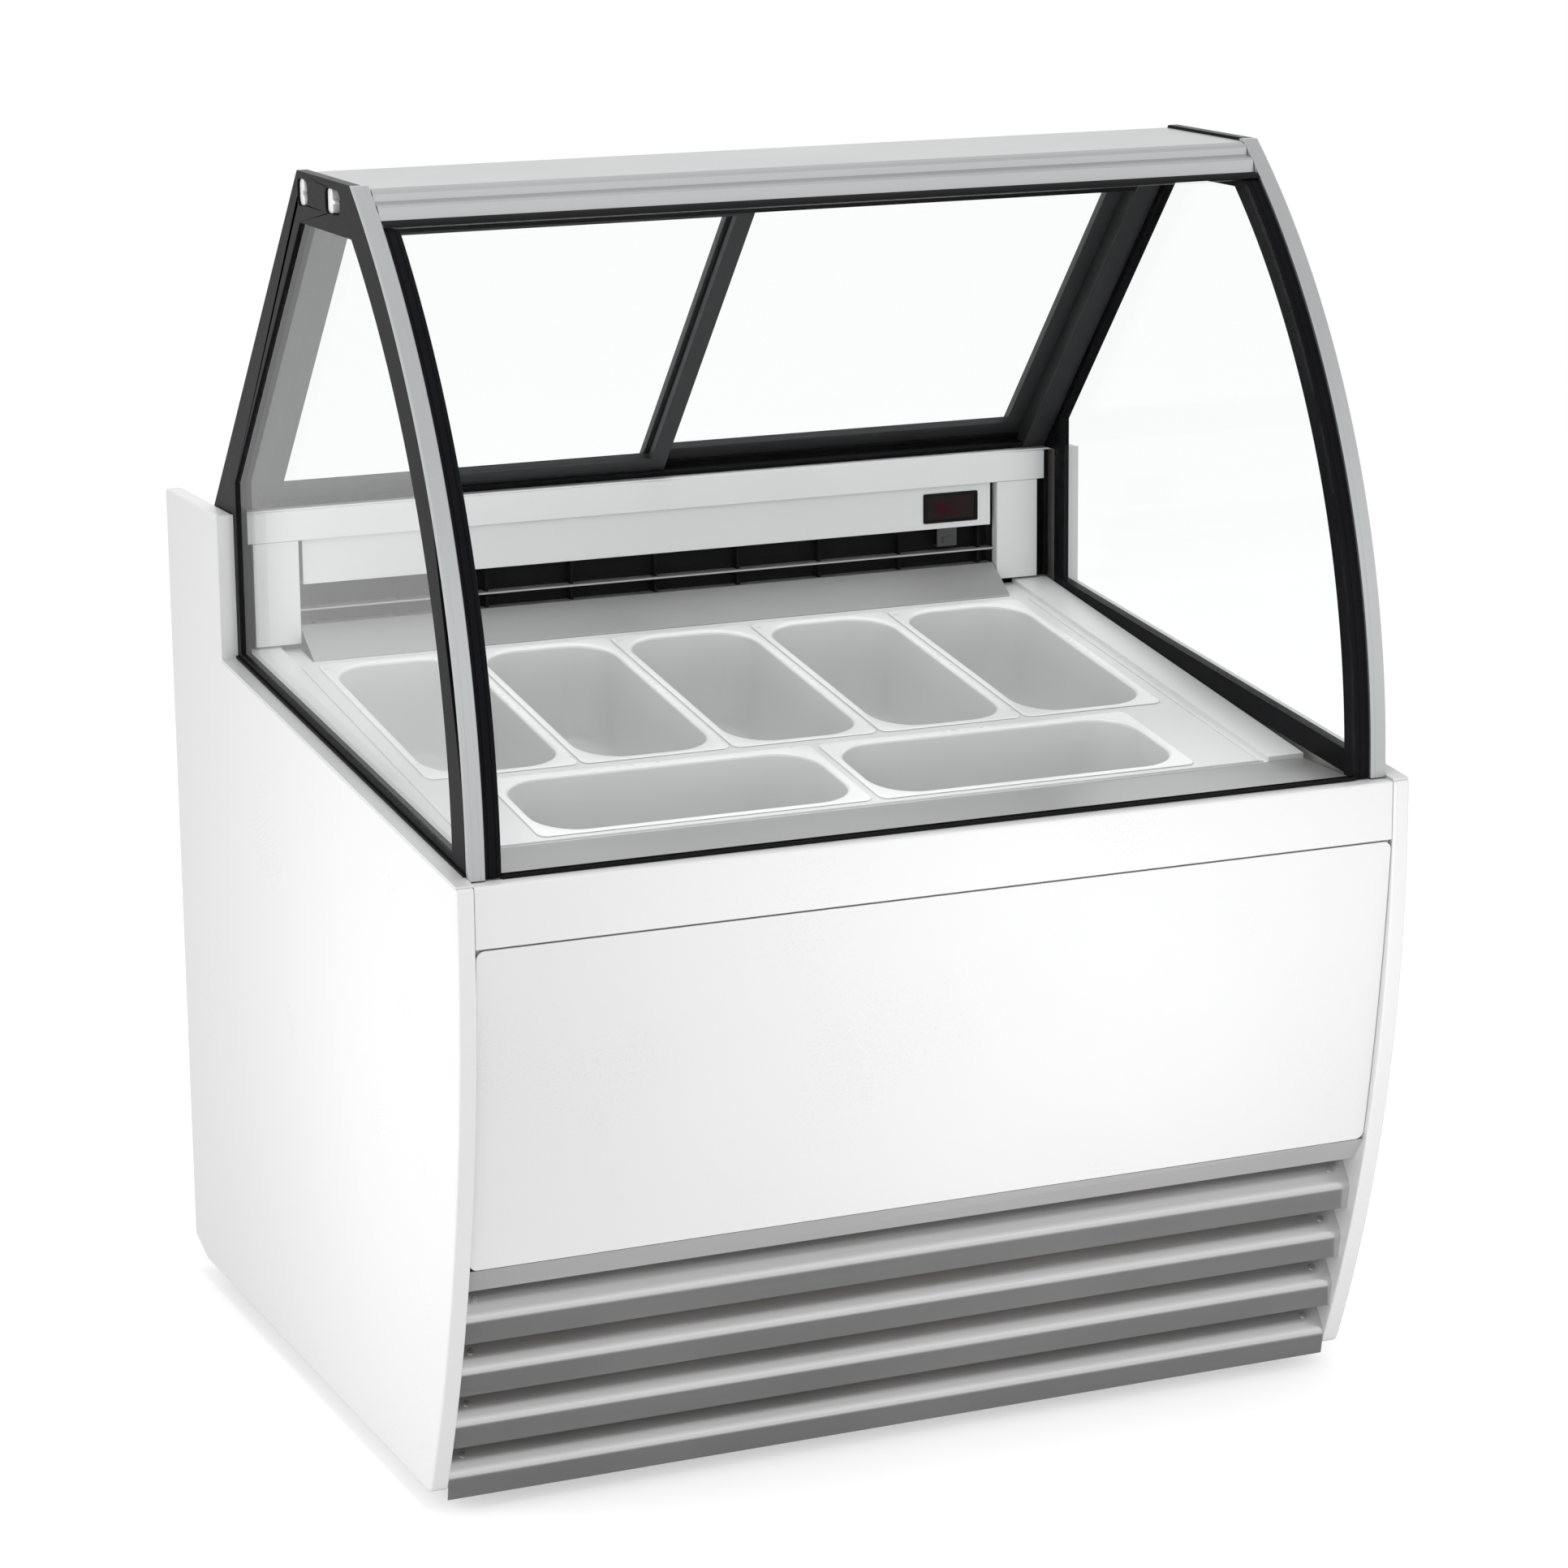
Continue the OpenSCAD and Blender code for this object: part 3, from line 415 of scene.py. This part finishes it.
def end_panel(side, word):
    steps = 26
    levels = [PANEL_BEND - (PANEL_BEND - PANEL_LOW) * k / steps for k in range(steps + 1)]
    low = [(FRONT + PANEL_R - math.sqrt(PANEL_R ** 2 - (PANEL_BEND - z) ** 2), z) for z in levels]
    outline = [(BACK, 20), (BACK, RAISED_TOP), (RISE_Y, RAISED_TOP), (RISE_Y, RISE_Z), (FRONT, LEDGE)]
    outline += low + [(424, PANEL_LOW)]
    corners = {0: 6, 1: 5, 2: 3, 4: 4, 4 + len(low): 12, 5 + len(low): 6}
    bm = prism(fillet(outline, corners), side * INNER, side * HALF)
    put(word + "_end_panel_shell", bm, "white_paint", stands=[word + "_end_panel"], bevel=2.4, segments=4,
        angle=50)


def bent_sheet(name, line, half, stands=()):
    """Painted sheet bent at the middle one of three (y, z) points, which lie on its outside."""
    bm = bmesh.new()
    bent = fillet(line, {1: 3.0}, 5)
    a = [bm.verts.new(point(-half, y, z)) for y, z in bent]
    b = [bm.verts.new(point(half, y, z)) for y, z in bent]
    for i in range(len(a) - 1):
        bm.faces.new((a[i], b[i], b[i + 1], a[i + 1]))
    turn_forward(put(name, bm, "front_paint", stands=stands, bevel=0.35, thick=PAINT_THICK), 0)


def front_panel():
    """The bowed sheet between the fascia and the grille, with round corners."""
    low, high, half, corner = 257.3, 587.2, 494.2, 9
    bow_r, bow_y, bow_z = 3000, 2522.75, 823.4  # radius and centre line of the bow
    turn = [math.pi / 2 * k / 6 for k in range(7)]
    levels = [(low + corner * (1 - math.cos(a)), corner * (1 - math.sin(a))) for a in turn]
    levels += [(low + corner + (high - low - 2 * corner) * k / 24, 0) for k in range(1, 24)]
    levels += [(high - corner * (1 - math.cos(a)), corner * (1 - math.sin(a))) for a in reversed(turn)]
    bm = bmesh.new()
    rows = []
    for z, inset in levels:
        y = bow_y - math.sqrt(bow_r ** 2 - (z - bow_z) ** 2)
        across = [(-1 + 2 * k / 10) * (half - inset) for k in range(11)]
        rows.append([bm.verts.new(point(x, y, z)) for x in across])
    loft(bm, rows, wrap=False)
    sheet = put("front_panel_sheet", bm, "front_paint", stands=["front_panel"], bevel=0.5, thick=PAINT_THICK)
    turn_forward(sheet, 60)


mirrored(end_panel)
bent_sheet("front_fascia_sheet", [(FACE_Y, 589), (FACE_Y, LEDGE), (RETURN_Y, LEDGE)], 494.5, ["front_fascia"])
bent_sheet("front_fascia_lip", [(RETURN_Y, LEDGE), (LIP_Y, LEDGE), (LIP_Y, 640.5)], 482.7)
front_panel()
put("panel_gap_seal", block(bmesh.new(), -493, 493, -464, -461, 583, 593), "black_rubber", bevel=0.4,
    look=KEY_GREY)

# ---- canopy ----

TRIM_FOOT, TRIM_TOP = 650.1, 1273.8
SEAL_FOOT, SEAL_TOP = 651.6, 1235.4


def corner_trim(side, word):
    """Satin strip up the curved edge of an end frame, with a shallow groove, on a rubber foot."""
    x0, x1 = INNER - 17.5, INNER - 0.1
    back, face, ease, groove = 819.2, 824.9, 0.9, 0.4
    section = [(x0, back), (x0, face - ease), (x0 + ease, face), (x0 + 4.5, face), (x0 + 5.1, face - groove),
               (x1 - 5.1, face - groove), (x1 - 4.5, face), (x1 - ease, face), (x1, face - ease), (x1, back)]
    bm = arc_sweep([(side * x, r) for x, r in section], TRIM_FOOT + 1.2, TRIM_TOP)
    put(word + "_corner_trim", bm, "trim_aluminium", stands=["corner_trims"] if side < 0 else (), angle=25)
    section = [(x0 + 0.5, 818), (x0 + 0.5, 824.3), (x1 - 0.5, 824.3), (x1 - 0.5, 818)]
    bm = arc_sweep([(side * x, r) for x, r in section], TRIM_FOOT, TRIM_FOOT + 1.3, 1)
    put(word + "_trim_foot", bm, "black_rubber")


def glass_seal(side, word):
    """Black seal along the front glass's curved edge, with two grooves in its face."""
    x0, x1 = INNER - 34.4, INNER - 18.3
    back, face = 799.2, 822

    def groove(x):
        return [(x, face), (x + 0.6, face - 0.8), (x + 1.4, face - 0.8), (x + 2, face)]

    section = [(x0 + 0.6, back), (x0, back + 0.6), (x0, face - 0.7), (x0 + 0.7, face)]
    section += groove(x0 + 4.2) + groove(x1 - 4)
    section += [(x1 - 0.6, face), (x1, face - 0.6), (x1, back + 0.6), (x1 - 0.6, back)]
    bm = arc_sweep([(side * x, r) for x, r in section], SEAL_FOOT, SEAL_TOP)
    stands = ["front_glass_seals"] if side < 0 else ()
    put(word + "_glass_seal", bm, "black_enamel", "front_glass", stands, angle=25)


def header_gasket():
    """Thin rubber between the header's lower lip and the glass."""
    section = [(-194.2, 1241.0), (-193.6, 1242.5), (-202.2, 1241.2), (-205.6, 1239.0), (-206.4, 1237.2),
               (-204.6, 1237.2), (-203.8, 1238.2)]
    put("header_gasket", prism(section, -476.8, 476.8), "black_rubber", bevel=0.2)


def screw_ports(side, word):
    """The header's pale ends, seen through the slots of the end frame, and the cover round them."""
    bm = bmesh.new()
    tall = [(-1.5, 0), (11, 0), (12.5, 2), (12.5, 8), (9, 10.5), (6.5, 10.5), (6.5, 14.5), (9, 14.5),
            (12.5, 17), (12.5, 24), (10.5, 26.5), (-1.5, 26.5)]
    tall = [(4.5 - y, 1239.8 + z) for y, z in tall]
    low = [(0, 0), (13, 0), (14, 3), (14, 9), (20, 10), (20, 13), (14, 14), (14, 21), (12, 24.4), (0, 24.4)]
    low = [(-84.0 - y, 1240.8 + z) for y, z in low]
    for outline, corners in ((tall, {1: 1.5, 3: 1, 9: 1}), (low, {1: 1.5, 8: 1.5})):
        prism(fillet(outline, corners), side * 484.2, side * 492.5, bm)
    put(word + "_screw_ports", bm, "trim_aluminium", bevel=0.5, look=LOOK["liner_grey"])
    bm = bmesh.new()
    block(bm, side * 483.2, side * 484, -128, 6, 1239, 1268)
    for y, z in ((-112, 1253), (-6, 1253)):
        block(bm, side * 483.9, side * 490, y - 7, y - 5.5, z - 11, z + 11)
        block(bm, side * 483.9, side * 488, y - 5.5, y + 8, z - 1, z + 0.5)
    put(word + "_port_cover", bm, "black_plastic", bevel=0.3)


def edge_gasket(side, word):
    """Rubber between the end glass's frame and the edge trim, and the closure behind the frame."""
    front, rear = [(y, LEDGE + (y - FRONT) * EDGE_SLOPE) for y in (-446, 274)]
    section = [(front[0], front[1] + 2.2), (rear[0], rear[1] + 2.2), (rear[0], rear[1] + 5.4),
               (front[0], front[1] + 4.4)]
    bm = prism(section, side * (INNER + 0.1), side * (INNER + 2.4))
    put(word + "_edge_gasket", bm, "black_rubber", bevel=0.4)
    bm = bmesh.new()
    block(bm, side * 469.4, side * 482.8, 295, 299, 733.5, 879.5)
    block(bm, side * 477.3, side * 482.8, 290.5, 295, 733.5, 879.5)
    put(word + "_side_closure", bm, "black_plastic", bevel=0.5)


mirrored(corner_trim)
mirrored(glass_seal)
header_gasket()
mirrored(screw_ports)
mirrored(edge_gasket)

# ---- pans ----

PAN_PITCH = 167.7  # of the rear row
REAR_ROW, FRONT_ROW = -180.0, -456.5  # along the deck, from its rear edge
FRONT_PAN_X = 183.85
PAN_THICK = 1.1
# Each row is the half width, half length, corner radius and height of a rounded rectangle.
RIM = [
    (81.6, 179.1, 9.2, -1.35),
    (82.3, 179.8, 9.8, -1.1),
    (82.4, 179.9, 9.9, -0.6),
    (82.0, 179.5, 9.6, -0.15),
    (81.2, 178.7, 9.0, 0.0),
    (76.6, 174.1, 49.5, 0.0),
    (75.4, 172.9, 48.6, -0.25),
    (74.3, 171.8, 47.6, -1.1),
    (73.5, 171.0, 47.0, -2.6),
    (73.6, 171.1, 47.1, -2.7),
    (74.3, 171.8, 47.6, -1.4),
]
BODY = [
    (73.9, 171.4, 47.1, -2.4),
    (73.5, 171.0, 47.0, -2.6),
    (73.0, 170.5, 46.6, -5.0),
    (71.9, 169.4, 45.5, -40.0),
    (70.6, 168.1, 44.3, -80.0),
    (69.8, 167.3, 43.6, -101.0),
    (68.6, 166.1, 42.6, -109.5),
    (65.0, 162.5, 40.0, -115.6),
    (59.0, 156.5, 36.0, -118.4),
    (48.0, 145.0, 28.0, -118.8),
]


def pan_rows(bm, shape):
    return [[bm.verts.new(plain(*p)) for p in ring(*row)] for row in shape]


def pan_rim():
    """The flange, a closed skin with a rolled edge."""
    bm = bmesh.new()
    rows = pan_rows(bm, RIM)
    loft(bm, rows + rows[:1])
    return bm


def pan_body():
    """The walls and the floor, drawn from one sheet."""
    bm = bmesh.new()
    rows = pan_rows(bm, BODY)
    loft(bm, rows)
    bm.faces.new(rows[-1])
    bm.normal_update()
    bmesh.ops.solidify(bm, geom=bm.faces[:], thickness=PAN_THICK * MM)
    return bm


def pans():
    rim, body = pan_rim(), pan_body()
    places = [("rear_pan_%d" % (i + 3), i * PAN_PITCH, REAR_ROW, 0) for i in range(-2, 3)]
    places += [("front_pan_1", -FRONT_PAN_X, FRONT_ROW, 90), ("front_pan_2", FRONT_PAN_X, FRONT_ROW, 90)]
    for name, x, y, turn in places:
        at = DECK @ Matrix.Translation(plain(x, y, 0)) @ Matrix.Rotation(math.radians(turn), 4, "Z")
        put(name + "_body", body.copy(), "pan_steel", name, [name], angle=60, matrix=at)
        # The rim wears the near-white copy of the pan steel, a painted highlight.
        put(name + "_rim", rim.copy(), "pan_steel", name, angle=60, matrix=at, look=PAN_RIM_PAINTED_HIGHLIGHT)
    rim.free()
    body.free()


pans()

# ---- deck and rear wall ----


def deck_beads():
    """Raised beads along the front and the ends of the deck's opening."""
    bm = bmesh.new()
    block(bm, -432, 432, -551, -548.6, -1.8, 0.6, deck_point)
    block(bm, -436, -432, -551, -3, -1.8, -0.4, deck_point)
    block(bm, 432, 436, -551, -3, -1.8, -0.4, deck_point)
    put("deck_beads", bm, "liner_grey", bevel=0.5)


def display():
    """Bezel of the temperature display, and its dim figures."""
    low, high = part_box("display_window")
    x0, x1, y = low.x / MM, high.x / MM, low.y / MM
    z0, z1 = low.z / MM - FOOT, high.z / MM - FOOT
    outer = rectangle(x0 - 2.2, x1 + 2.2, z0 - 2.2, z1 + 2.2, 2, 4)
    inner = rectangle(x0 + 1.4, x1 - 1.4, z0 + 1.4, z1 - 1.4, 1, 4)
    bm = bmesh.new()
    levels = ((outer, y + 0.45), (outer, y - 0.5), (inner, y - 0.9), (inner, y - 0.05))
    loft(bm, [[bm.verts.new(point(x, at, z)) for x, z in line] for line, at in levels])
    put("display_bezel", bm, "black_plastic", angle=40)
    bm = bmesh.new()
    for x, z, w, h in ((12, 8, 12, 15), (25.5, 8, 10, 12)):
        block(bm, x0 + x, x0 + x + w, y - 0.12, y + 0.2, z0 + z, z0 + z + h)
    put("display_segments", bm, "display_glass", bevel=0.1, look=DIM_RED)


def probe():
    """Temperature probe's bulb and bracket, under the display."""
    bm = bmesh.new()
    block(bm, 347, 372, 303, 304.2, 776, 796.8)
    block(bm, 347, 372, 303, 314, 775, 776.2)
    block(bm, 354, 365, 301.5, 303, 780, 786)
    put("probe_bracket", bm, "black_plastic", bevel=0.4, look=BRACKET)
    bm = bmesh.new()
    at = Matrix.Translation(point(359, 307.5, 780)) @ Matrix.Rotation(math.radians(90), 4, "Y")
    bmesh.ops.create_cone(bm, cap_ends=True, segments=24, radius1=3 * MM, radius2=2.6 * MM, depth=18 * MM,
                          matrix=at)
    put("probe_bulb", bm, "black_steel", bevel=0.8)


deck_beads()
display()
probe()

# ---- operator's side ----

LOUVRE_Y = 466.05  # face of the service grille's sheet
LOUVRE_PITCH = 20


def service_louvres():
    """Pressed hoods over the service grille's slots, four across and seven high."""
    across = ((-3, 0.02), (0, 0.45), (3, 0.8), (8, 1), (112, 1), (117, 0.8), (120, 0.45), (123, 0.02))
    hood = ((0, 10.5), (1.3, 9.6), (2.6, 7), (3.3, 3.5), (3.5, 0.5))  # stand-off and height
    bm = bmesh.new()
    for x0 in (-310, -150, 10, 170):
        for i in range(7):
            z0 = 80 + i * LOUVRE_PITCH
            rows = [[bm.verts.new(point(x0 + x, LOUVRE_Y + out * share, z0 + z)) for out, z in hood]
                    for x, share in across]
            loft(bm, rows, wrap=False)
    put("service_louvres", bm, "stainless", thick=0.35, angle=60)


def controller_face():
    """Window, keys and dim figures of the controller."""
    x0, z0 = -150, 296  # the controller's middle
    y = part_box("controller")[1].y / MM
    left, low = x0 - 31, z0 - 10.5  # the window's corner
    bm = block(bmesh.new(), left, x0 + 8, y - 0.2, y + 0.35, low, z0 + 11)
    put("controller_window", bm, "display_glass", bevel=0.3)
    bm = bmesh.new()
    for x in (14, 25):
        for z in (-8, 4):
            key = rectangle(x0 + x, x0 + x + 8, z0 + z, z0 + z + 7, 1.5, 4)
            prism(key, y - 0.2, y + 0.55, bm, key_point)
    put("controller_keys", bm, "black_plastic", bevel=0.25, look=KEY_GREY)
    bm = bmesh.new()
    for x, z, w, h in ((6, 6, 9, 12), (18, 6, 9, 12), (29, 6, 4, 4)):
        block(bm, left + x, left + x + w, y + 0.3, y + 0.45, low + z, low + z + h)
    put("controller_segments", bm, "display_glass", bevel=0.08, look=DIM_RED)


service_louvres()
controller_face()

# ---- camera, light and floor ----

CAMERA_AT = (-1.8758, -4.4074, 1.7437 + FOOT * MM)  # metres
CAMERA_TURN = (-23.305, 13.464, -0.539)  # round the cabinet, up and rolled, in degrees
LENS = 105.95
# Brightness of the studio by the height of the direction, from straight down to straight up.
SKY = [(-1.0, 0.12), (-0.6, 0.08), (-0.5, 0.15), (-0.4, 0.8), (-0.28, 0.97), (0.05, 1.0), (0.23, 1.2),
       (0.42, 1.0), (0.75, 0.72), (1.0, 0.75)]


def camera():
    az, el, roll = [math.radians(a) for a in CAMERA_TURN]
    back = Vector((math.sin(az) * math.cos(el), -math.cos(az) * math.cos(el), math.sin(el)))
    right = Vector((0, 0, 1)).cross(back).normalized()
    up = back.cross(right)
    cam_x = math.cos(roll) * right + math.sin(roll) * up
    cam_y = -math.sin(roll) * right + math.cos(roll) * up
    o = bpy.data.objects.new("camera", bpy.data.cameras.new("camera"))
    o.matrix_world = Matrix.Translation(CAMERA_AT) @ Matrix((cam_x, cam_y, back)).transposed().to_4x4()
    o.data.sensor_width = 36
    o.data.lens = LENS
    o.data.clip_end = 200
    scene.collection.objects.link(o)
    scene.camera = o


def studio():
    world = bpy.data.worlds.new("studio")
    scene.world = world
    world.use_nodes = True
    t = world.node_tree
    where = t.nodes.new("ShaderNodeTexCoord")
    split = t.nodes.new("ShaderNodeSeparateXYZ")
    t.links.new(where.outputs["Generated"], split.inputs[0])
    shift = t.nodes.new("ShaderNodeMapRange")
    shift.inputs["From Min"].default_value, shift.inputs["From Max"].default_value = -1, 1
    t.links.new(split.outputs["Z"], shift.inputs["Value"])
    ramp = t.nodes.new("ShaderNodeValToRGB")
    t.links.new(shift.outputs["Result"], ramp.inputs["Fac"])
    while len(ramp.color_ramp.elements) < len(SKY):
        ramp.color_ramp.elements.new(1.0)
    for element, (z, level) in zip(ramp.color_ramp.elements, SKY):
        element.position = (z + 1) / 2
        element.color = (level, level, level, 1)
    t.links.new(ramp.outputs["Color"], t.nodes["Background"].inputs["Color"])
    t.nodes["Background"].inputs["Strength"].default_value = 1.0


def area(name, at, target, size, power):
    """A round lamp that lights the cabinet but shows in no reflection."""
    data = bpy.data.lights.new(name, "AREA")
    data.shape, data.size, data.energy = "DISK", size, power
    lamp = bpy.data.objects.new(name, data)
    lamp.location = at
    lamp.rotation_euler = (Vector(target) - Vector(at)).to_track_quat("-Z", "Y").to_euler()
    lamp.visible_glossy = lamp.visible_camera = False
    scene.collection.objects.link(lamp)


def pale_floor():
    bpy.ops.mesh.primitive_plane_add(size=120, location=(0, 0, 0))
    floor = bpy.context.object
    floor.name = "floor"
    paper = finish("floor_white", (0.6, 0.6, 0.6), rough=0.9, tint=0.005, grain=even(3), bump=0.0)
    surface = paper.node_tree.nodes["Principled BSDF"]
    surface.inputs["Emission Color"].default_value = (1, 1, 1, 1)
    surface.inputs["Emission Strength"].default_value = 0.47
    floor.data.materials.append(paper)
    floor.visible_glossy = False


camera()
studio()
area("front", (0.22, -1.15, 0.46), (0.22, -0.4, 0.46), 0.6, 3.3)
area("side", (-1.3, -0.36, 0.5), (-0.5, -0.36, 0.5), 0.6, 4.4)
area("inside", (-0.62, -0.85, 2.1), (-0.1, -0.05, 0.7), 0.5, 7)
area("top", (0.0, 0.2, 4.2), (0, 0, 0.8), 2.0, 48)
pale_floor()
scene.view_settings.view_transform = "Standard"
scene.view_settings.look = "None"
